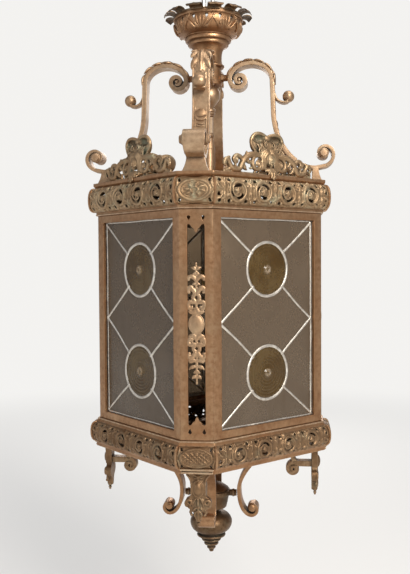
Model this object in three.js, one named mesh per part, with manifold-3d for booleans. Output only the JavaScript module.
import * as THREE from "three";
import { mergeVertices } from "three/addons/utils/BufferGeometryUtils.js";
import Module from "manifold-3d";

const wasm = await Module();
wasm.setup();

// Heights are measured from the top of the glazed frames; each node is lowered at the end,
// so that the origin is where the suspension link bears on its hook.

// Fits
const gap = 0.3;
const turningGap = 0.4;
const doorGap = 0.5;
const bite = 1;

// Body in plan: four wide faces and four narrow corners
const faceDistance = 163;
const cornerWidth = 53.74;
const bodyHeight = 372;

// Glazed frames
const frameDepth = 12;
const frameLip = 5;
const stileWidth = 18;
const railWidth = 13;
const glazingLap = 5;

// Leaded glazing
const cameLeaf = 1.6;
const channelWall = 1.2;
const glassThickness = 2.8;
const borderCameShow = 6;
const cameWidth = 5.5;
const rondelRadius = 45.5;
const rondelEndMargin = 30.6;
const bullseyeRadius = 11;
const bullseyeHeight = 3;
const ringLap = 2.6;

// Corner panels; margins are measured in from the edges of the panel or of its slot
const cornerThickness = 5;
const returnDepth = 13;
const returnThickness = 4;
const slotSideMargin = 12.9;
const slotMargin = 26;
const slotPoint = 10;
const keyholeRadius = 2.2;
const keyholeSideMargin = 15.6;
const keyholeMargin = 13.5;
const arabesqueEndMargin = 52;
const arabesqueThickness = 3;
const spineHalfWidth = 3.5;
const cabochonSideMargin = 4;
const cabochonHalfHeight = 15;
const cabochonProud = 5;
const scrollPairOffset = 35;
const scrollPairHalfHeight = 10;
const leafPairEndMargin = 32;
const leafPairHalfHeight = 5;

// Mouldings above and below the frames
const ledgeHeight = 8;
const ledgeProud = 3;
const ledgeInset = 26;
const corniceThickness = 4;
const corniceProud = 15;
const topCorniceHeight = 41;
const bottomCorniceHeight = 34;
const coveHeight = 7;
const plateHeight = 10;
const topPlateProud = 7.5;
const bottomPlateProud = 6;
const rosettesPerFace = 4;
const rosetteEndMargin = 45.5;
const rosetteHoleRadius = 8;
const medallionSideMargin = 6.9;
const medallionHalfHeight = 15;
const medallionProud = 2;

// Scroll arms above the body; rises are measured from the top plate
const armWidth = 30;
const armThickness = 8.5;
const sweepThickness = 6.5;
const eyeThickness = 3.5;
const voluteDistance = 57;
const voluteRise = 185.4;
const voluteRadius = 17;
const voluteEyeRadius = 5;
const archHalfSpan = 38;
const archRise = 30;
const legLean = 2;
const legRise = 130.4;
const sweepRise = 24.4;
const curlOutset = 15;
const curlRise = 49.4;
const curlOverhang = 4;
const curlRadius = 22;
const curlEyeRadius = 5;
const curlBossRadius = 5;
const curlBossProud = 3;
const leafThickness = 4.5;
const leafOverhang = 2;
const budReach = 31;
const budRise = 154.4;
const budRadius = 9;
const budWidth = 20;
const budStemThickness = 5;
const footInset = 9.6;
const footTopDepth = 11;
const footBottomDepth = 19;
const footOverhang = 7;

// Hub, canopy and stem on the axis
const spacerRadius = 6;
const spacerLift = 7;
const nutRadius = 8;
const nutThickness = 5;
const collarRadius = 25;
const collarDrop = 14;
const collarHeight = 32;
const neckHeight = 39;
const neckWaistRadius = 24.5;
const neckLipRadius = 29.5;
const neckTopRadius = 34;
const lowerBeadRadius = 37;
const upperBeadRadius = 42;
const beadHeight = 7;
const bowlRadius = 62;
const bowlWall = 3;
const bowlHeight = 36;
const boreRadius = 6.5;
const crownPetals = 12;
const crownReach = 18;
const crownRise = 13;
const hoopHeight = 2;
const petalThickness = 2;
const petalSpread = 0.78;
const pendantBulbRadius = 21;
const stemRadius = 8.6;
const stemCapRadius = 12.5;
const stemCapDrop = 42;
const stemCapDepth = 14;
const stemBaseRadius = 11;
const stemConeRise = 64.4;
const stemConeHeight = 19;
const stemKnopHeight = 9;

// Suspension link and eyebolt
const linkWire = 7;
const linkHalfWidth = 8;
const linkLength = 62;
const eyeRadius = 10;
const eyeWire = 6;
const eyeRise = 39;
const boltRadius = 5.5;
const washerRadius = 13;
const washerThickness = 5;

// Crests on the top plate
const crestThickness = 9;
const crestEndMargin = 25;
const crestBase = 6;
const crestRise = 68;
const crestHeadRise = 24;
const crestHeadRadius = 12;
const crestHeadStretch = 1.3;
const crestShieldHalfWidth = 24;
const crestScrollStart = 40;
const crestScrollRadius = 16;
const crestScrollShrink = 2.5;

// Corner pendants
const pendantInset = 11.2;
const pendantDepth = 13;
const pendantLength = 90;
const pendantSideMargin = 4.9;
const pendantWaist = 15;
const pendantShell = 20;
const pendantCabochonHalfWidth = 8.5;
const pendantCabochonHalfHeight = 13;
const pendantCabochonProud = 3;
const pearlRadius = 4.5;
const tieThickness = 10;
const tieWidth = 18;
const tieDrop = 31;
const tieLength = 40.5;
const tieScrollRadius = 13;

// Scroll brackets, drum and finial; drops are measured from the bottom plate
const bracketWidth = 30;
const bracketThickness = 9;
const bracketTopDistance = 104;
const bracketWaistDistance = 53;
const bracketWaistDrop = 82.4;
const bracketBottomDistance = 77;
const bracketBottomDrop = 128.4;
const bracketCurlRadius = 12;
const bracketCurlEye = 5.5;
const drumRadius = 36;
const drumTopDrop = 70.4;
const drumRimDrop = 85.4;
const drumRimHeight = 4;
const drumBottomDrop = 116.4;
const drumFootRadius = 15;
const tieRodRadius = 6.5;
const lowerSpacerDrop = 90.4;
const finialTopDrop = 124.4;
const finialBulbRadius = 39;
const finialBulbHeight = 37;
const finialStepHeight = 12;
const finialConeRadius = 17;
const finialConeHeight = 30;

// Door hinges and latch
const hingePinRadius = 1.7;
const hingeBoreRadius = hingePinRadius + turningGap;
const knuckleRadius = 4;
const knuckleHeight = 9.4;
const knuckleStep = 10;
const hingeInset = 62;
const hingeOutset = 4.5;
const hingeLeafLength = 14;
const hingeLeafThickness = 2;
const pinHeadRadius = 3.2;
const pinHeadHeight = 2;
const latchInset = 8.5;
const latchSpindleRadius = 2.5;
const latchKnobRadius = 7;
const latchKnobHeight = 9;
const latchTongueReach = 13;
const latchTongueHalf = 4;
const latchTongueThickness = 3;

// Lamp inside
const lampTubeRadius = 4.5;
const lampDrop = 96;
const lampHolderRadius = 15;
const lampHolderHeight = 44;
const lampHolderRoof = 10;
const bulbRadius = 30;
const bulbLength = 100;
const bulbCapRadius = 12;
const bulbCapHeight = 34;

// Smoothness
const roundSteps = 20;
const ringSteps = 20;
const smallSteps = 10;

// Plan worked out from the sizes above
const cornerHalfWidth = cornerWidth / 2;
const faceHalfWidth = faceDistance - cornerHalfWidth * Math.SQRT2;
const cornerDistance = (faceDistance + faceHalfWidth) * Math.SQRT1_2;
const offsetGrowth = Math.tan(Math.PI / 8);
const slotHalfWidth = cornerHalfWidth - slotSideMargin;
const footDistance = cornerDistance - footInset;
const pendantDistance = cornerDistance - pendantInset;

// Levels worked out from the sizes above
const bodyBottom = -bodyHeight;
const topCorniceBottom = ledgeHeight + gap;
const topCorniceTop = topCorniceBottom + topCorniceHeight;
const topPlateBottom = topCorniceTop + gap;
const topPlateTop = topPlateBottom + plateHeight;
const bottomLedgeBottom = bodyBottom - ledgeHeight;
const bottomCorniceTop = bottomLedgeBottom - gap;
const bottomCorniceBottom = bottomCorniceTop - bottomCorniceHeight;
const bottomPlateTop = bottomCorniceBottom - gap;
const bottomPlateBottom = bottomPlateTop - plateHeight;
const voluteHeight = topPlateTop + voluteRise;
const legBottom = topPlateTop + legRise;
const sweepBottom = topPlateTop + sweepRise;
const spacerHeight = voluteHeight + spacerLift;
const collarBottom = spacerHeight - collarDrop;
const collarTop = collarBottom + collarHeight;
const neckTop = collarTop + neckHeight;
const bowlBottom = neckTop + 2 * beadHeight + 2 * bite;
const eyeHeight = bowlBottom + eyeRise;
const linkBottom = eyeHeight - eyeWire / 2 - linkWire / 2 - gap;
const hangDrop = linkBottom + linkLength;

const finishes = {
  bronze: { color: 0x9a7647, roughness: 0.52, metalness: 0.85 },
  castBronze: { color: 0x87683f, roughness: 0.6, metalness: 0.8 },
  darkBronze: { color: 0x6b5034, roughness: 0.58, metalness: 0.8 },
  steel: { color: 0x9b978c, roughness: 0.4, metalness: 0.9 },
  lead: { color: 0xb6b0a2, roughness: 0.62, metalness: 0.5 },
  quarry: { color: 0x8f877b, roughness: 0.2, metalness: 0 },
  amber: { color: 0x7a4f14, roughness: 0.15, metalness: 0 },
  brass: { color: 0xb28a45, roughness: 0.35, metalness: 0.9 },
  opal: { color: 0xe6e2d6, roughness: 0.25, metalness: 0 },
};

const lantern = new THREE.Group();
lantern.name = "stained_glass_lantern";

// Conversions between scene geometry and solids

function solid(geometry) {
  const bare = new THREE.BufferGeometry();
  bare.setAttribute("position", geometry.getAttribute("position"));
  bare.setIndex(geometry.getIndex());
  const merged = mergeVertices(bare, 1e-4);
  return new wasm.Manifold(new wasm.Mesh({
    numProp: 3,
    vertProperties: Float32Array.from(merged.getAttribute("position").array),
    triVerts: Uint32Array.from(merged.getIndex().array),
  }));
}

function surface(body) {
  const mesh = body.asOriginal().simplify(1e-3).getMesh();
  const geometry = new THREE.BufferGeometry();
  geometry.setAttribute("position", new THREE.BufferAttribute(Float32Array.from(mesh.vertProperties), 3));
  geometry.setIndex(new THREE.BufferAttribute(Uint32Array.from(mesh.triVerts), 1));
  return geometry;
}

function joined(bodies) {
  return bodies.reduce((whole, body) => whole.add(body));
}

function turned(body, degrees) {
  return body.rotate([0, 0, degrees]);
}

function addNode(name, body, finish) {
  const geometry = surface(body);
  geometry.translate(0, 0, -hangDrop);
  geometry.computeVertexNormals();
  const mesh = new THREE.Mesh(geometry, new THREE.MeshStandardMaterial(finish));
  mesh.name = name;
  lantern.add(mesh);
}

// Basic shapes, all placed by their limits

function block(xLow, xHigh, yLow, yHigh, zLow, zHigh) {
  const geometry = new THREE.BoxGeometry(xHigh - xLow, yHigh - yLow, zHigh - zLow);
  geometry.translate((xLow + xHigh) / 2, (yLow + yHigh) / 2, (zLow + zHigh) / 2);
  return solid(geometry);
}

function upright(radius, zLow, zHigh, steps = roundSteps) {
  const geometry = new THREE.CylinderGeometry(radius, radius, zHigh - zLow, steps);
  geometry.rotateX(Math.PI / 2);
  geometry.translate(0, 0, (zLow + zHigh) / 2);
  return solid(geometry);
}

function outwardRod(radius, xLow, xHigh, y, z, steps = smallSteps) {
  const geometry = new THREE.CylinderGeometry(radius, radius, xHigh - xLow, steps);
  geometry.rotateZ(Math.PI / 2);
  geometry.translate((xLow + xHigh) / 2, y, z);
  return solid(geometry);
}

function crossRod(radius, halfLength, x, z, steps = smallSteps) {
  const geometry = new THREE.CylinderGeometry(radius, radius, 2 * halfLength, steps);
  geometry.translate(x, 0, z);
  return solid(geometry);
}

function ball(radiusX, radiusY, radiusZ, x, y, z, steps = smallSteps) {
  const geometry = new THREE.SphereGeometry(1, steps, steps / 2);
  geometry.scale(radiusX, radiusY, radiusZ);
  geometry.translate(x, y, z);
  return solid(geometry);
}

function turning(points, steps = roundSteps) {
  const geometry = new THREE.LatheGeometry(points.map(([r, z]) => new THREE.Vector2(r, z)), steps);
  geometry.rotateX(Math.PI / 2);
  return solid(geometry);
}

function shapeOf(points) {
  return new THREE.Shape(points.map(([x, y]) => new THREE.Vector2(x, y)));
}

// Both halves of an outline that is drawn to one side of its middle line
function mirrored(half) {
  const otherHalf = half.map(([along, height]) => [-along, height]).reverse();
  return shapeOf(half.concat(otherHalf));
}

function ellipseShape(x, y, radiusX, radiusY, steps = smallSteps) {
  const points = [];
  for (let i = 0; i < steps; i += 1) {
    const angle = (2 * Math.PI * i) / steps;
    points.push([x + radiusX * Math.cos(angle), y + radiusY * Math.sin(angle)]);
  }
  return shapeOf(points);
}

function planCut(shape, zLow, zHigh) {
  const geometry = new THREE.ExtrudeGeometry(shape, { depth: zHigh - zLow, bevelEnabled: false });
  geometry.translate(0, 0, zLow);
  return solid(geometry);
}

// The outline is drawn in distance from the axis and height
function sideCut(shape, width) {
  const geometry = new THREE.ExtrudeGeometry(shape, { depth: width, bevelEnabled: false });
  geometry.translate(0, 0, -width / 2);
  geometry.rotateX(Math.PI / 2);
  return solid(geometry);
}

// The outline is drawn along the face and in height
function frontCut(shape, inner, outer) {
  const geometry = new THREE.ExtrudeGeometry(shape, { depth: outer - inner, bevelEnabled: false });
  geometry.translate(0, 0, inner);
  const along = new THREE.Vector3(0, 1, 0);
  const up = new THREE.Vector3(0, 0, 1);
  const out = new THREE.Vector3(1, 0, 0);
  geometry.applyMatrix4(new THREE.Matrix4().makeBasis(along, up, out));
  return solid(geometry);
}

// Body outline at an offset from the outer faces
function bodyOutline(offset) {
  const distance = faceDistance + offset;
  const half = faceHalfWidth + offset * offsetGrowth;
  const points = [];
  for (let quarter = 0; quarter < 4; quarter += 1) {
    const angle = (quarter * Math.PI) / 2;
    for (const along of [-half, half]) {
      points.push([
        distance * Math.cos(angle) - along * Math.sin(angle),
        distance * Math.sin(angle) + along * Math.cos(angle),
      ]);
    }
  }
  return points;
}

// A moulding that runs round the body; its profile is a closed loop of offset and height
function moulding(profile) {
  const positions = [];
  const index = [];
  const sides = 8;
  profile.forEach(([offset, z]) => {
    bodyOutline(offset).forEach(([x, y]) => positions.push(x, y, z));
  });
  profile.forEach((point, i) => {
    const next = (i + 1) % profile.length;
    for (let j = 0; j < sides; j += 1) {
      const side = (j + 1) % sides;
      const a = i * sides + j;
      const b = i * sides + side;
      const c = next * sides + side;
      const d = next * sides + j;
      index.push(a, b, c, a, c, d);
    }
  });
  const geometry = new THREE.BufferGeometry();
  geometry.setAttribute("position", new THREE.BufferAttribute(Float32Array.from(positions), 3));
  geometry.setIndex(index);
  return solid(geometry);
}

// Paths and the flat bars that follow them

function spiral(centre, startRadius, endRadius, startTurn, endTurn, steps) {
  const points = [];
  for (let i = 0; i <= steps; i += 1) {
    const part = i / steps;
    const radius = startRadius * (endRadius / startRadius) ** part;
    const angle = 2 * Math.PI * (startTurn + (endTurn - startTurn) * part);
    points.push([centre[0] + radius * Math.cos(angle), centre[1] + radius * Math.sin(angle)]);
  }
  return points;
}

function ellipseArc(centre, radiusX, radiusY, startTurn, endTurn, steps) {
  const points = [];
  for (let i = 0; i <= steps; i += 1) {
    const angle = 2 * Math.PI * (startTurn + ((endTurn - startTurn) * i) / steps);
    points.push([centre[0] + radiusX * Math.cos(angle), centre[1] + radiusY * Math.sin(angle)]);
  }
  return points;
}

function bezier(start, first, second, end, steps) {
  const vectors = [start, first, second, end].map(([x, y]) => new THREE.Vector2(x, y));
  const curve = new THREE.CubicBezierCurve(...vectors);
  return curve.getPoints(steps).map((point) => [point.x, point.y]);
}

function withoutRepeats(path) {
  const apart = ([x, y], [u, v]) => Math.hypot(x - u, y - v) > bite / 2;
  return path.filter((point, i) => i === 0 || apart(point, path[i - 1]));
}

// Outline of a bar between two distances left and right of its path
function barOutline(path, left, right) {
  const points = withoutRepeats(path);
  const last = points.length - 1;
  const one = [];
  const other = [];
  points.forEach((point, i) => {
    const before = points[Math.max(0, i - 1)];
    const after = points[Math.min(last, i + 1)];
    const length = Math.hypot(after[0] - before[0], after[1] - before[1]);
    const normal = [-(after[1] - before[1]) / length, (after[0] - before[0]) / length];
    const part = i / last;
    one.push([point[0] + normal[0] * left(part), point[1] + normal[1] * left(part)]);
    other.push([point[0] - normal[0] * right(part), point[1] - normal[1] * right(part)]);
  });
  return shapeOf(one.concat(other.reverse()));
}

function evenBar(path, thickness) {
  const half = () => thickness / 2;
  return barOutline(path, half, half);
}

// Body mouldings

function topLedge() {
  return moulding([
    [ledgeProud, gap / 2],
    [ledgeProud, ledgeHeight],
    [-ledgeInset, ledgeHeight],
    [-ledgeInset, gap / 2],
  ]);
}

function bottomLedge() {
  return moulding([
    [ledgeProud, bodyBottom - gap / 2 - (ledgeHeight - coveHeight)],
    [ledgeProud, bodyBottom - gap / 2],
    [-ledgeInset, bodyBottom - gap / 2],
    [-ledgeInset, bottomLedgeBottom],
    [coveHeight, bottomLedgeBottom],
    [coveHeight / 2 + ledgeProud / 2, bottomLedgeBottom + coveHeight / 3],
  ]);
}

// Bulging band: its face is half of an ellipse and its back follows at the wall thickness
function corniceBand(zLow, zHigh) {
  const steps = 5;
  const middle = (zLow + zHigh) / 2;
  const half = (zHigh - zLow) / 2;
  const outer = [];
  const inner = [];
  for (let i = 0; i <= steps; i += 1) {
    const angle = -Math.PI / 2 + (Math.PI * i) / steps;
    const bulge = Math.sqrt(Math.max(0, Math.cos(angle)));
    const offset = ledgeProud + (corniceProud - ledgeProud) * bulge;
    const height = middle + half * Math.sin(angle);
    outer.push([offset, height]);
    inner.push([offset - corniceThickness, height]);
  }
  return moulding(outer.concat(inner.reverse()));
}

// Four pierced rosettes on each wide face and a raised medallion at each corner
function cornice(zLow, zHigh) {
  const middle = (zLow + zHigh) / 2;
  const firstRosette = rosetteEndMargin - faceHalfWidth;
  const spacing = (-2 * firstRosette) / (rosettesPerFace - 1);
  let band = corniceBand(zLow, zHigh);
  for (let quarter = 0; quarter < 4; quarter += 1) {
    for (let place = 0; place < rosettesPerFace; place += 1) {
      const hole = outwardRod(
        rosetteHoleRadius,
        faceDistance,
        faceDistance + 2 * corniceProud,
        firstRosette + place * spacing,
        middle,
        6,
      );
      band = band.subtract(turned(hole, quarter * 90));
    }
    const medallion = frontCut(
      ellipseShape(0, middle, cornerHalfWidth - medallionSideMargin, medallionHalfHeight),
      cornerDistance + corniceProud - corniceThickness,
      cornerDistance + corniceProud + medallionProud,
    );
    band = band.add(turned(medallion, 45 + quarter * 90));
  }
  return band;
}

function topPlate() {
  const rim = moulding([
    [topPlateProud, topPlateBottom + plateHeight / 2],
    [topPlateProud, topPlateTop],
    [-ledgeInset, topPlateTop],
    [-ledgeInset, topPlateBottom],
    [ledgeProud, topPlateBottom],
  ]);
  const inside = shapeOf(bodyOutline(bite - ledgeInset));
  const web = planCut(inside, topPlateTop - plateHeight / 2, topPlateTop);
  const tubeHole = upright(lampTubeRadius + gap, topPlateBottom, topPlateTop + bite, smallSteps);
  return rim.add(web).subtract(tubeHole);
}

function bottomPlate() {
  const rim = moulding([
    [bottomPlateProud, bottomPlateTop - plateHeight / 2],
    [bottomPlateProud + ledgeProud, bottomPlateTop],
    [-ledgeInset, bottomPlateTop],
    [-ledgeInset, bottomPlateBottom],
    [bottomPlateProud, bottomPlateBottom],
  ]);
  const inside = shapeOf(bodyOutline(bite - ledgeInset));
  const web = planCut(inside, bottomPlateBottom, bottomPlateBottom + plateHeight / 2);
  return rim.add(web);
}

// Corner panels

function cornerPlate() {
  const half = cornerHalfWidth;
  const back = cornerDistance - cornerThickness;
  const diagonal = Math.SQRT1_2;
  const returnEnd = returnDepth * diagonal;
  const returnSide = returnThickness * diagonal;
  const oneSide = [
    [cornerDistance, half],
    [cornerDistance - returnEnd, half - returnEnd],
    [cornerDistance - returnEnd + returnSide, half - returnEnd - returnSide],
    [back, half - cornerThickness - 2 * returnSide],
  ];
  const otherSide = oneSide.map(([distance, along]) => [distance, -along]).reverse();
  return planCut(shapeOf(oneSide.concat(otherSide)), bodyBottom + gap / 2, -gap / 2);
}

function slotShape() {
  const top = -slotMargin;
  const bottom = bodyBottom + slotMargin;
  return shapeOf([
    [-slotHalfWidth, bottom],
    [0, bottom + slotPoint],
    [slotHalfWidth, bottom],
    [slotHalfWidth, top],
    [0, top - slotPoint],
    [-slotHalfWidth, top],
  ]);
}

function arabesque() {
  const back = cornerDistance - cornerThickness;
  const front = back + arabesqueThickness;
  const middle = bodyBottom / 2;
  const flat = (shape) => frontCut(shape, back, front);
  const scrollHalf = slotHalfWidth / 2 + bite / 2;
  const leafHalf = slotHalfWidth / 2 - bite;
  const spineHalfHeight = bodyHeight / 2 - slotMargin - slotPoint - arabesqueEndMargin;
  const cabochonHalfWidth = slotHalfWidth - cabochonSideMargin;
  const pieces = [
    flat(ellipseShape(0, middle, spineHalfWidth, spineHalfHeight)),
    ball(cabochonProud + arabesqueThickness, cabochonHalfWidth, cabochonHalfHeight, front, 0, middle),
  ];
  for (const end of [-1, 1]) {
    const scrollHeight = middle + end * scrollPairOffset;
    const leafHeight = middle + end * (spineHalfHeight - leafPairEndMargin);
    for (const side of [-1, 1]) {
      const scroll = ellipseShape(side * scrollHalf, scrollHeight, scrollHalf, scrollPairHalfHeight, 8);
      const leaf = ellipseShape(side * leafHalf, leafHeight, leafHalf, leafPairHalfHeight, 6);
      pieces.push(flat(scroll), flat(leaf));
    }
  }
  return joined(pieces);
}

function cornerPanel() {
  const keyholes = [];
  for (const side of [-1, 1]) {
    for (const height of [-keyholeMargin, bodyBottom + keyholeMargin]) {
      keyholes.push(outwardRod(
        keyholeRadius,
        cornerDistance - 2 * cornerThickness,
        cornerDistance + bite,
        side * (cornerHalfWidth - keyholeSideMargin),
        height,
        6,
      ));
    }
  }
  const slot = frontCut(slotShape(), cornerDistance - 2 * cornerThickness, cornerDistance + bite);
  return cornerPlate().subtract(slot).subtract(joined(keyholes)).add(arabesque());
}

// Glazed frames, drawn with their outer face towards x

const frameFace = faceDistance;
const frameBack = faceDistance - frameDepth;
const lipBack = faceDistance - frameLip;
const openingHalf = faceHalfWidth - stileWidth;
const openingTop = -railWidth;
const openingBottom = bodyBottom + railWidth;
const pocketHalf = openingHalf + glazingLap;
const pocketTop = openingTop + glazingLap;
const pocketBottom = openingBottom - glazingLap;

function frame(lowEdge, highEdge, endGap) {
  const whole = block(frameBack, frameFace, lowEdge, highEdge, bodyBottom + endGap, -endGap);
  const opening = block(
    frameBack - bite,
    frameFace + bite,
    -openingHalf,
    openingHalf,
    openingBottom,
    openingTop,
  );
  const pocket = block(frameBack - bite, lipBack, -pocketHalf, pocketHalf, pocketBottom, pocketTop);
  return whole.subtract(opening).subtract(pocket);
}

function fixedFrame() {
  return frame(gap - faceHalfWidth, faceHalfWidth - gap, gap);
}

// Leaded glazing: front leaf, glass and back leaf lie one behind the other

const frontLeafFace = lipBack - gap;
const frontLeafBack = frontLeafFace - cameLeaf;
const glassFace = frontLeafBack - gap;
const glassBack = glassFace - glassThickness;
const backLeafFace = glassBack - gap;
const backLeafBack = backLeafFace - cameLeaf;
const panelHalf = pocketHalf - gap;
const panelTop = pocketTop - gap;
const panelBottom = pocketBottom + gap;
const panelMiddle = (panelTop + panelBottom) / 2;
const sheetHalf = panelHalf - channelWall - gap;
const sheetTop = panelTop - channelWall - gap;
const sheetBottom = panelBottom + channelWall + gap;
const borderHalf = openingHalf - borderCameShow;
const borderTop = openingTop - borderCameShow;
const borderBottom = openingBottom + borderCameShow;
const sheetHole = rondelRadius + gap;
const ringLeafInner = rondelRadius - ringLap;
const ringLeafOuter = sheetHole + ringLap;
const rondelSpread = (borderTop - borderBottom) / 2 - ringLeafOuter - rondelEndMargin;
const rondelHeights = [panelMiddle + rondelSpread, panelMiddle - rondelSpread];

function rings(inner, outer) {
  return rondelHeights.map((height) => {
    const disc = outwardRod(ringLeafOuter, inner, outer, 0, height, ringSteps);
    return disc.subtract(outwardRod(ringLeafInner, inner - bite, outer + bite, 0, height, ringSteps));
  });
}

function diagonalCame(inner, outer, fromHeight, toAlong, toHeight) {
  const length = Math.hypot(toAlong, toHeight - fromHeight);
  const along = [toAlong / length, (toHeight - fromHeight) / length];
  const start = [along[0] * (ringLeafOuter - bite), fromHeight + along[1] * (ringLeafOuter - bite)];
  return frontCut(evenBar([start, [toAlong, toHeight]], cameWidth), inner, outer);
}

function borderLeaf(inner, outer) {
  return block(inner, outer, -panelHalf, panelHalf, panelBottom, panelTop)
    .subtract(block(inner - bite, outer + bite, -borderHalf, borderHalf, borderBottom, borderTop));
}

function diagonals(inner, outer) {
  const pieces = [];
  rondelHeights.forEach((height, i) => {
    const outerEnd = i === 0 ? borderTop : borderBottom;
    for (const side of [-1, 1]) {
      pieces.push(diagonalCame(inner, outer, height, side * (borderHalf + bite), outerEnd));
      pieces.push(diagonalCame(inner, outer, height, side * (borderHalf + bite), panelMiddle));
    }
  });
  return joined(pieces);
}

function leadCames() {
  const channel = block(backLeafBack, frontLeafFace, -panelHalf, panelHalf, panelBottom, panelTop)
    .subtract(block(
      backLeafBack - bite,
      frontLeafFace + bite,
      channelWall - panelHalf,
      panelHalf - channelWall,
      panelBottom + channelWall,
      panelTop - channelWall,
    ));
  return joined([
    borderLeaf(frontLeafBack, frontLeafFace),
    ...rings(frontLeafBack, frontLeafFace),
    diagonals(frontLeafBack, frontLeafFace),
    borderLeaf(backLeafBack, backLeafFace),
    channel,
  ]);
}

function quarrySheet() {
  const sheet = block(glassBack, glassFace, -sheetHalf, sheetHalf, sheetBottom, sheetTop);
  const holes = rondelHeights.map((height) => (
    outwardRod(sheetHole, glassBack - bite, glassFace + bite, 0, height, ringSteps)
  ));
  return sheet.subtract(joined(holes));
}

function rondel(height) {
  const middle = (glassFace + glassBack) / 2;
  const half = glassThickness / 2;
  const boss = turning([
    [0, -half],
    [rondelRadius, -half],
    [rondelRadius, half],
    [bullseyeRadius, half],
    [bullseyeRadius / 2, half + bullseyeHeight],
    [0, half + bullseyeHeight],
  ], ringSteps);
  return boss.rotate([0, 90, 0]).translate([middle, 0, height]);
}

// Scroll arms

const archCentre = [voluteDistance - voluteRadius + archHalfSpan, voluteHeight];
const archEnd = archCentre[0] + archHalfSpan;
const legEnd = archEnd + legLean;

function archPath(steps) {
  return ellipseArc(archCentre, archHalfSpan, archRise, 0.5, 0, steps);
}

function sweepPath() {
  const end = footDistance + bite;
  return ellipseArc([end, legBottom], end - legEnd, legBottom - sweepBottom, 0.5, 0.75, 6);
}

function curlPath() {
  const eye = [footDistance + curlOutset, topPlateTop + curlRise];
  return spiral(eye, curlRadius, curlEyeRadius, 0.78, 2.05, 11);
}

function armPath() {
  const eye = [voluteDistance, voluteHeight];
  const volute = spiral(eye, voluteRadius, voluteEyeRadius, 0.5, 1.65, 10).reverse();
  const curlStart = curlPath().slice(0, 2);
  return [...volute, ...archPath(7), [legEnd, legBottom], ...sweepPath(), ...curlStart];
}

// The bar thickens out of the volute and thins again down the sweep
function armHalfThickness(part) {
  const voluteShare = 0.4;
  if (part < voluteShare) {
    return THREE.MathUtils.mapLinear(part, 0, voluteShare, eyeThickness / 2, armThickness / 2);
  }
  return THREE.MathUtils.mapLinear(part, voluteShare, 1, armThickness / 2, sweepThickness / 2);
}

function armLeaf() {
  const path = archPath(7).slice(1);
  const outer = () => armThickness / 2 + leafThickness;
  const inner = () => -armThickness / 4;
  return sideCut(barOutline(path, outer, inner), armWidth + 2 * leafOverhang);
}

function armBud() {
  const start = [archEnd + armThickness / 2, voluteHeight];
  const budDistance = archEnd + budReach;
  const budHeight = topPlateTop + budRise;
  const stem = bezier(
    start,
    [start[0] + bite, budHeight - 2 * budRadius],
    [budDistance - budRadius, budHeight - 2 * budRadius],
    [budDistance, budHeight - budRadius / 2],
    4,
  );
  return sideCut(evenBar(stem, budStemThickness), budWidth)
    .add(crossRod(budRadius, budWidth / 2, budDistance, budHeight));
}

function armFoot() {
  const shape = shapeOf([
    [footDistance - footBottomDepth / 2, topPlateTop + gap],
    [footDistance + footBottomDepth / 2 + bite, topPlateTop + gap],
    [footDistance + footTopDepth / 2, topPlateTop + footTopDepth],
    [footDistance + footTopDepth / 2, sweepBottom],
    [footDistance - footTopDepth / 2, sweepBottom],
    [footDistance - footTopDepth / 2, topPlateTop + footTopDepth],
  ]);
  return sideCut(shape, armWidth).add(block(
    footDistance - footBottomDepth / 2,
    footDistance + footBottomDepth / 2,
    -armWidth / 2 - footOverhang,
    armWidth / 2 + footOverhang,
    topPlateTop + gap,
    topPlateTop + gap + footTopDepth / 2,
  ));
}

function scrollArm() {
  const curlEye = curlPath().at(-1);
  const curlWidth = armWidth + 2 * curlOverhang;
  const curlHalf = (part) => (sweepThickness + (eyeThickness - sweepThickness) * part) / 2;
  return joined([
    sideCut(barOutline(armPath(), armHalfThickness, armHalfThickness), armWidth),
    sideCut(barOutline(curlPath(), curlHalf, curlHalf), curlWidth),
    crossRod(curlBossRadius, curlWidth / 2 + curlBossProud, curlEye[0] - curlBossRadius / 2, curlEye[1]),
    armLeaf(),
    armBud(),
    armFoot(),
  ]);
}

// Hub, neck and canopy

function hubCollar() {
  const ring = turning([
    [boreRadius, collarBottom],
    [collarRadius - bite, collarBottom],
    [collarRadius, collarBottom + bite],
    [collarRadius, spacerHeight - spacerRadius - bite],
    [collarRadius - bite, spacerHeight - spacerRadius],
    [collarRadius - bite, collarTop],
    [boreRadius, collarTop],
    [boreRadius, collarBottom],
  ]);
  const reach = voluteDistance - voluteRadius - armThickness / 2 - gap;
  const spacers = [];
  for (let quarter = 0; quarter < 4; quarter += 1) {
    const spacer = outwardRod(spacerRadius, collarRadius / 2, reach, 0, spacerHeight);
    const nutStart = collarRadius - 2 * bite;
    const nut = outwardRod(nutRadius, nutStart, nutStart + nutThickness, 0, spacerHeight, 6);
    spacers.push(turned(spacer.add(nut), 45 + quarter * 90));
  }
  return joined([ring, ...spacers]).subtract(upright(boreRadius, collarBottom - bite, collarTop + bite));
}

function hubNeck() {
  const bottom = collarTop + gap;
  const level = (share) => bottom + neckHeight * share;
  return turning([
    [boreRadius, bottom],
    [neckLipRadius - bite, bottom],
    [neckLipRadius, level(0.05)],
    [neckWaistRadius * 1.04, level(0.2)],
    [neckWaistRadius, level(0.33)],
    [neckWaistRadius * 1.06, level(0.64)],
    [neckTopRadius, neckTop],
    [lowerBeadRadius, neckTop + bite],
    [lowerBeadRadius, neckTop + beadHeight],
    [upperBeadRadius, neckTop + beadHeight + bite],
    [upperBeadRadius, bowlBottom - gap],
    [boreRadius, bowlBottom - gap],
    [boreRadius, bottom],
  ]);
}

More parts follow.
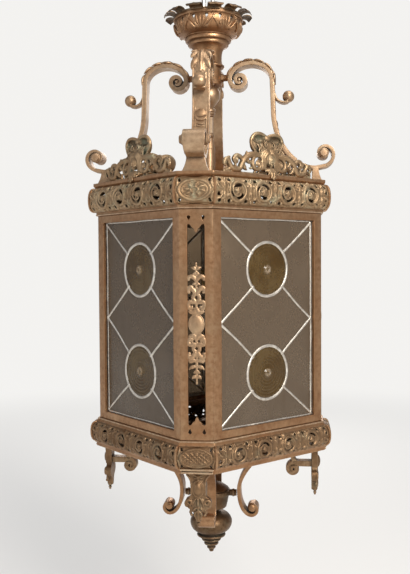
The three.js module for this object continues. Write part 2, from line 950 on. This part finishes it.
function canopyBowl() {
  const level = (share) => bowlBottom + bowlHeight * share;
  const inside = bowlRadius - bowlWall - bite;
  return turning([
    [boreRadius, bowlBottom],
    [upperBeadRadius, bowlBottom],
    [bowlRadius * 0.9, level(0.14)],
    [bowlRadius - bite, level(0.42)],
    [bowlRadius, level(0.72)],
    [bowlRadius - bite, level(0.86)],
    [bowlRadius + bite, level(0.92)],
    [bowlRadius, level(1)],
    [inside, level(1)],
    [inside, level(0.5)],
    [inside * 0.9, level(0.22)],
    [upperBeadRadius - bowlWall, bowlBottom + bowlWall],
    [boreRadius, bowlBottom + bowlWall],
    [boreRadius, bowlBottom],
  ]);
}

// Twelve tabs rise from a hoop on the lip of the bowl and curl outwards
function canopyCrown() {
  const lip = bowlBottom + bowlHeight + gap;
  const inside = bowlRadius - bowlWall - bite;
  const tipRadius = bowlRadius + crownReach;
  const path = bezier(
    [bowlRadius - bowlWall / 2, lip + bite],
    [bowlRadius, lip + 1.6 * crownRise],
    [tipRadius - petalThickness, lip + 1.4 * crownRise],
    [tipRadius, lip],
    4,
  );
  const width = (2 * Math.PI * bowlRadius * petalSpread) / crownPetals;
  const hoop = turning([
    [inside, lip],
    [bowlRadius, lip],
    [bowlRadius, lip + hoopHeight],
    [inside, lip + hoopHeight],
    [inside, lip],
  ], crownPetals);
  const petals = [];
  for (let i = 0; i < crownPetals; i += 1) {
    petals.push(turned(sideCut(evenBar(path, petalThickness), width), (360 * i) / crownPetals));
  }
  return joined([hoop, ...petals]);
}

// The turned stem stands on the top plate and ends in a bulb inside the collar
function centralStem() {
  const bulbMiddle = collarBottom - pendantBulbRadius * 0.85;
  const foot = topPlateTop + gap;
  const coneBottom = topPlateTop + stemConeRise;
  const coneTop = coneBottom + stemConeHeight;
  const capTop = collarBottom - stemCapDrop;
  return turning([
    [lampTubeRadius + gap, foot],
    [stemBaseRadius * 1.27, foot],
    [stemBaseRadius, foot + stemBaseRadius * 0.36],
    [stemBaseRadius, coneBottom],
    [stemRadius - bite, coneTop],
    [stemRadius + bite, coneTop + stemKnopHeight * 0.55],
    [stemRadius - bite, coneTop + stemKnopHeight],
    [stemRadius, capTop - stemCapDepth],
    [stemCapRadius * 0.84, capTop - stemCapDepth * 0.57],
    [stemCapRadius, capTop - stemCapDepth * 0.36],
    [stemCapRadius, capTop],
    [pendantBulbRadius * 0.55, capTop + pendantBulbRadius * 0.29],
    [pendantBulbRadius * 0.9, bulbMiddle - pendantBulbRadius * 0.43],
    [pendantBulbRadius, bulbMiddle],
    [pendantBulbRadius * 0.85, bulbMiddle + pendantBulbRadius * 0.48],
    [pendantBulbRadius * 0.6, collarBottom - gap],
    [lampTubeRadius + gap, collarBottom - gap],
    [lampTubeRadius + gap, foot],
  ]);
}

function eyebolt() {
  const ring = new THREE.TorusGeometry(eyeRadius, eyeWire / 2, 8, 20);
  ring.rotateX(Math.PI / 2);
  ring.rotateZ(Math.PI / 2);
  ring.translate(0, 0, eyeHeight - eyeRadius);
  const shankTop = eyeHeight - 2 * eyeRadius;
  const seat = bowlBottom + bowlWall + gap;
  return joined([
    solid(ring),
    upright(boltRadius, collarBottom + gap, shankTop, smallSteps),
    upright(washerRadius, seat, seat + washerThickness, 6),
  ]);
}

// The link starts and halves at its ends, so that a ring of the tube stands where it bears
function suspensionLink() {
  const top = hangDrop + linkWire / 2;
  const straight = top - linkBottom - 2 * linkHalfWidth;
  const steps = 36;
  const points = [];
  for (let i = 0; i < steps; i += 1) {
    const angle = Math.PI / 2 + (2 * Math.PI * i) / steps;
    const lift = i <= steps / 4 || i >= (3 * steps) / 4 ? straight : 0;
    points.push(new THREE.Vector3(
      linkHalfWidth * Math.cos(angle),
      0,
      linkBottom + linkHalfWidth + lift + linkHalfWidth * Math.sin(angle),
    ));
  }
  const curve = new THREE.CatmullRomCurve3(points, true, "centripetal");
  return solid(new THREE.TubeGeometry(curve, 48, linkWire / 2, 8, true));
}

// Crests

function crest() {
  const foot = topPlateTop + gap;
  const inner = faceDistance - crestThickness;
  const outer = faceDistance;
  const flat = (shape) => frontCut(shape, inner, outer);
  const halfLength = faceHalfWidth - crestEndMargin;
  const lastRadius = crestScrollRadius - 2 * crestScrollShrink;
  const spacing = (halfLength - crestScrollStart - lastRadius) / 2;
  const top = foot + crestRise;
  const headHeight = foot + crestHeadRise;
  const headHalf = crestHeadRadius * crestHeadStretch;
  const pieces = [
    flat(mirrored([[halfLength, foot], [halfLength, foot + crestBase]])),
    flat(mirrored([
      [crestShieldHalfWidth, foot],
      [crestShieldHalfWidth, top - crestHeadRadius],
      [crestShieldHalfWidth / 2, top],
    ])),
    ball(crestHeadRadius, crestHeadRadius, headHalf, outer, 0, headHeight, 8),
  ];
  for (const side of [-1, 1]) {
    for (const place of [0, 1, 2]) {
      const radius = crestScrollRadius - place * crestScrollShrink;
      const along = side * (crestScrollStart + place * spacing);
      const height = foot + radius;
      const disc = flat(ellipseShape(along, height, radius, radius));
      const eye = ellipseShape(along, height, radius / 2, radius / 2, 6);
      const hole = frontCut(eye, inner - bite, outer + bite);
      pieces.push(place === 1 ? disc.subtract(hole) : disc);
    }
  }
  return joined(pieces);
}

// Corner pendants and the scroll brackets under the body

function cornerPendant() {
  const top = bottomPlateBottom - gap;
  const inner = pendantDistance - pendantDepth / 2;
  const outer = pendantDistance + pendantDepth / 2;
  const level = (share) => top - pendantLength * share;
  const head = cornerHalfWidth - pendantSideMargin;
  const plate = frontCut(mirrored([
    [pearlRadius, level(0.8)],
    [pendantShell * 0.5, level(0.69)],
    [pendantShell * 0.9, level(0.6)],
    [pendantShell, level(0.51)],
    [pendantWaist, level(0.42)],
    [pendantWaist, level(0.22)],
    [head, level(0.06)],
    [head, top],
  ]), inner, outer);
  const tieHeight = top - tieDrop;
  const tieScrollDistance = pendantDistance - tieLength;
  const tie = block(
    tieScrollDistance,
    pendantDistance,
    -tieWidth / 2,
    tieWidth / 2,
    tieHeight - tieThickness / 2,
    tieHeight + tieThickness / 2,
  );
  const post = block(
    tieScrollDistance - tieThickness / 2,
    tieScrollDistance + tieThickness / 2,
    -tieWidth / 2,
    tieWidth / 2,
    tieHeight,
    top,
  );
  const tip = top - pendantLength;
  const drop = pearlRadius * 0.8;
  const dropHalf = pearlRadius * 1.2;
  const cabochon = ball(
    pendantDepth / 2 + pendantCabochonProud,
    pendantCabochonHalfWidth,
    pendantCabochonHalfHeight,
    pendantDistance,
    0,
    level(0.31),
  );
  return joined([
    plate,
    cabochon,
    ball(pearlRadius, pearlRadius, 2 * dropHalf * 0.75, pendantDistance, 0, tip + 3 * dropHalf, 8),
    ball(drop, drop, dropHalf, pendantDistance, 0, tip + dropHalf, 8),
    tie,
    post,
    crossRod(tieScrollRadius, tieWidth / 2, tieScrollDistance, tieHeight - tieScrollRadius / 3),
  ]);
}

function bracketPath() {
  const top = bottomPlateBottom - gap;
  const waist = bottomPlateBottom - bracketWaistDrop;
  const bottom = bottomPlateBottom - bracketBottomDrop;
  const fall = waist - bottom;
  return [
    ...bezier(
      [bracketTopDistance, top],
      [bracketTopDistance - fall / 2, top - fall / 2],
      [bracketWaistDistance, waist + fall * 0.65],
      [bracketWaistDistance, waist],
      6,
    ),
    ...bezier(
      [bracketWaistDistance, waist],
      [bracketWaistDistance, waist - fall * 0.6],
      [bracketBottomDistance - fall * 0.3, bottom],
      [bracketBottomDistance, bottom],
      5,
    ),
    ...spiral(
      [bracketBottomDistance, bottom + bracketCurlRadius],
      bracketCurlRadius,
      bracketCurlEye,
      0.75,
      1.4,
      7,
    ),
  ];
}

function scrollBracket() {
  const top = bottomPlateBottom - gap;
  const bar = sideCut(evenBar(bracketPath(), bracketThickness), bracketWidth);
  const shoe = block(
    bracketTopDistance - bracketWidth / 2,
    bracketTopDistance + bracketWidth / 3,
    -bracketWidth / 2,
    bracketWidth / 2,
    top - bracketThickness / 2,
    top,
  );
  const ceiling = block(0, 3 * bracketTopDistance, -bracketWidth, bracketWidth, top, top + bracketWidth);
  return bar.add(shoe).subtract(ceiling);
}

const finialTop = bottomPlateBottom - finialTopDrop;

function hubDrum() {
  const top = bottomPlateBottom - gap;
  const dome = bottomPlateBottom - drumTopDrop;
  const rim = bottomPlateBottom - drumRimDrop;
  const bottom = bottomPlateBottom - drumBottomDrop;
  const turnedPart = turning([
    [0, finialTop + gap],
    [drumFootRadius, finialTop + gap],
    [drumFootRadius, bottom - drumRimHeight],
    [drumRadius * 0.8, bottom],
    [drumRadius * 0.94, rim - 2 * drumRimHeight],
    [drumRadius, rim - drumRimHeight],
    [drumRadius, rim],
    [drumRadius * 0.9, rim + drumRimHeight],
    [drumRadius * 0.5, dome - drumRimHeight / 2],
    [tieRodRadius * 1.3, dome],
    [tieRodRadius, dome + drumRimHeight * 1.5],
    [tieRodRadius, top],
    [0, top],
  ]);
  const reach = bracketWaistDistance - bracketThickness / 2 - gap;
  const spacer = outwardRod(spacerRadius, drumRadius / 2, reach, 0, bottomPlateBottom - lowerSpacerDrop);
  const spacers = [];
  for (let quarter = 0; quarter < 4; quarter += 1) {
    spacers.push(turned(spacer, 45 + quarter * 90));
  }
  return joined([turnedPart, ...spacers]);
}

function bottomFinial() {
  const bulbLevel = (share) => finialTop - finialBulbHeight * share;
  const stepLevel = (share) => bulbLevel(1) - finialStepHeight * share;
  const coneLevel = (share) => stepLevel(1) - finialConeHeight * share;
  return turning([
    [0, coneLevel(1)],
    [finialConeRadius * 0.18, coneLevel(0.95)],
    [finialConeRadius * 0.3, coneLevel(0.8)],
    [finialConeRadius * 0.55, coneLevel(0.7)],
    [finialConeRadius * 0.6, coneLevel(0.53)],
    [finialConeRadius * 0.85, coneLevel(0.4)],
    [finialConeRadius, coneLevel(0.13)],
    [finialConeRadius, coneLevel(0)],
    [finialBulbRadius * 0.7, stepLevel(0.75)],
    [finialBulbRadius * 0.72, stepLevel(0.25)],
    [finialBulbRadius * 0.9, bulbLevel(0.9)],
    [finialBulbRadius, bulbLevel(0.55)],
    [finialBulbRadius * 0.92, bulbLevel(0.3)],
    [finialBulbRadius * 0.55, bulbLevel(0.05)],
    [drumFootRadius, finialTop],
    [0, finialTop],
  ]);
}

// Door, hung on the rear left face; its hinges are on the low side of y before it is turned

const doorHingeEdge = doorGap - faceHalfWidth;
const doorLatchEdge = faceHalfWidth - 3 * doorGap;
const hingeX = faceDistance + hingeOutset;
const hingeY = gap - faceHalfWidth;
const hingeHeights = [-hingeInset, bodyBottom + hingeInset - 3 * knuckleStep];
const latchY = doorLatchEdge - latchInset;
const latchHeight = bodyBottom / 2;

function knuckle(zLow) {
  return upright(knuckleRadius, zLow, zLow + knuckleHeight, 14).translate([hingeX, hingeY, 0]);
}

function hingeBore(zLow) {
  const bore = upright(hingeBoreRadius, zLow - bite, zLow + 3 * knuckleStep + bite, 12);
  return bore.translate([hingeX, hingeY, 0]);
}

function doorHinges() {
  return joined(hingeHeights.map((zLow) => {
    const low = zLow + knuckleStep;
    const high = low + knuckleHeight;
    const back = frameFace - bite;
    const leafFace = frameFace + hingeLeafThickness;
    const leaf = block(back, leafFace, hingeY, hingeY + hingeLeafLength, low, high);
    const arm = block(back, hingeX, hingeY, hingeY + knuckleRadius, low, high);
    return joined([leaf, arm, knuckle(low)]).subtract(hingeBore(zLow));
  }));
}

function doorFrame() {
  const latchHole = outwardRod(
    latchSpindleRadius + turningGap,
    frameBack - bite,
    frameFace + bite,
    latchY,
    latchHeight,
  );
  return frame(doorHingeEdge, doorLatchEdge, 2 * gap).subtract(latchHole).add(doorHinges());
}

// The fixed knuckles stand on the corner panel beside the door
function fixedHingeLeaves() {
  const start = bite + gap;
  const end = hingeLeafLength * Math.SQRT1_2;
  const outline = shapeOf([
    [faceDistance - 2 * start, -faceHalfWidth - start / 2],
    [hingeX, hingeY],
    [hingeX - start, hingeY - knuckleRadius],
    [faceDistance - end + hingeLeafThickness, -faceHalfWidth - end - hingeLeafThickness],
    [faceDistance - end - bite, -faceHalfWidth - end + bite],
  ]);
  return joined(hingeHeights.map((zLow) => {
    const pair = [zLow, zLow + 2 * knuckleStep].map((low) => (
      planCut(outline, low, low + knuckleHeight).add(knuckle(low))
    ));
    return joined(pair).subtract(hingeBore(zLow));
  }));
}

function hingePin(zLow) {
  const low = zLow - pinHeadHeight;
  const high = zLow + 3 * knuckleStep;
  return upright(hingePinRadius, low, high, 12)
    .add(upright(pinHeadRadius, high - gap, high - gap + pinHeadHeight, 12))
    .translate([hingeX, hingeY, 0]);
}

function doorLatch() {
  const tongueFace = faceDistance - returnDepth - gap - bite / 10;
  const tongueBack = tongueFace - latchTongueThickness;
  return joined([
    outwardRod(latchSpindleRadius, tongueBack, frameFace + bite, latchY, latchHeight),
    outwardRod(latchKnobRadius, frameFace + turningGap, frameFace + latchKnobHeight, latchY, latchHeight),
    block(
      tongueBack,
      tongueFace,
      latchY - latchTongueHalf,
      latchY + latchTongueHalf,
      latchHeight - latchTongueReach,
      latchHeight + latchTongueHalf,
    ),
  ]);
}

// Lamp

const socketRoof = -lampDrop - lampHolderRoof;

function lampHolder() {
  const top = -lampDrop;
  const bottom = top - lampHolderHeight;
  const tubeTop = collarBottom - pendantBulbRadius / 2;
  return turning([
    [bulbCapRadius + gap, bottom],
    [lampHolderRadius, bottom],
    [lampHolderRadius, top - lampHolderRoof * 0.8],
    [lampTubeRadius * 1.7, top],
    [lampTubeRadius, top + lampHolderRoof * 0.4],
    [lampTubeRadius, tubeTop],
    [0, tubeTop],
    [0, socketRoof],
    [bulbCapRadius + gap, socketRoof],
    [bulbCapRadius + gap, bottom],
  ]);
}

function lampBulb() {
  const top = socketRoof - gap;
  const middle = top - bulbLength + bulbRadius;
  return turning([
    [0, middle - bulbRadius],
    [bulbRadius * 0.6, middle - bulbRadius * 0.8],
    [bulbRadius * 0.95, middle - bulbRadius * 0.3],
    [bulbRadius, middle],
    [bulbRadius * 0.86, middle + bulbRadius * 0.55],
    [bulbCapRadius * 1.15, top - bulbCapHeight * 1.2],
    [bulbCapRadius, top - bulbCapHeight],
    [bulbCapRadius, top],
    [0, top],
  ]);
}

// Assembly

const faces = [
  ["right", 0],
  ["rear_right", 90],
  ["door", 180],
  ["left", 270],
];
const corners = [
  ["front", 315],
  ["right", 45],
  ["back", 135],
  ["left", 225],
];

addNode("suspension_link", turned(suspensionLink(), 45), finishes.steel);
addNode("eyebolt", turned(eyebolt(), 45), finishes.steel);
addNode("canopy_crown", canopyCrown(), finishes.darkBronze);
addNode("canopy_bowl", canopyBowl(), finishes.bronze);
addNode("hub_neck", hubNeck(), finishes.bronze);
addNode("hub_collar", hubCollar(), finishes.bronze);
addNode("central_stem", centralStem(), finishes.bronze);
addNode("top_plate", topPlate(), finishes.bronze);
addNode("top_cornice", cornice(topCorniceBottom, topCorniceTop), finishes.castBronze);
addNode("top_ledge", topLedge(), finishes.bronze);
addNode("bottom_ledge", bottomLedge(), finishes.bronze);
addNode("bottom_cornice", cornice(bottomCorniceBottom, bottomCorniceTop), finishes.castBronze);
addNode("bottom_plate", bottomPlate(), finishes.bronze);
addNode("hub_drum", hubDrum(), finishes.darkBronze);
addNode("bottom_finial", bottomFinial(), finishes.darkBronze);
addNode("lamp_holder", lampHolder(), finishes.brass);
addNode("lamp_bulb", lampBulb(), finishes.opal);

for (const [name, degrees] of corners) {
  let panel = turned(cornerPanel(), degrees);
  if (name === "back") {
    panel = panel.add(turned(fixedHingeLeaves(), 180));
  }
  addNode(`corner_panel_${name}`, panel, finishes.bronze);
  addNode(`scroll_arm_${name}`, turned(scrollArm(), degrees), finishes.bronze);
  addNode(`corner_pendant_${name}`, turned(cornerPendant(), degrees), finishes.castBronze);
  addNode(`scroll_bracket_${name}`, turned(scrollBracket(), degrees), finishes.bronze);
}

for (const [name, degrees] of faces) {
  const isDoor = name === "door";
  const frameName = isDoor ? "door_frame" : `face_frame_${name}`;
  const frameBody = isDoor ? doorFrame() : fixedFrame();
  addNode(frameName, turned(frameBody, degrees), finishes.bronze);
  addNode(`crest_${name}`, turned(crest(), degrees), finishes.castBronze);
  addNode(`lead_cames_${name}`, turned(leadCames(), degrees), finishes.lead);
  addNode(`clear_glass_${name}`, turned(quarrySheet(), degrees), finishes.quarry);
  addNode(`rondel_upper_${name}`, turned(rondel(rondelHeights[0]), degrees), finishes.amber);
  addNode(`rondel_lower_${name}`, turned(rondel(rondelHeights[1]), degrees), finishes.amber);
}

addNode("hinge_pin_upper", turned(hingePin(hingeHeights[0]), 180), finishes.steel);
addNode("hinge_pin_lower", turned(hingePin(hingeHeights[1]), 180), finishes.steel);
addNode("door_latch", turned(doorLatch(), 180), finishes.brass);

export default lantern;
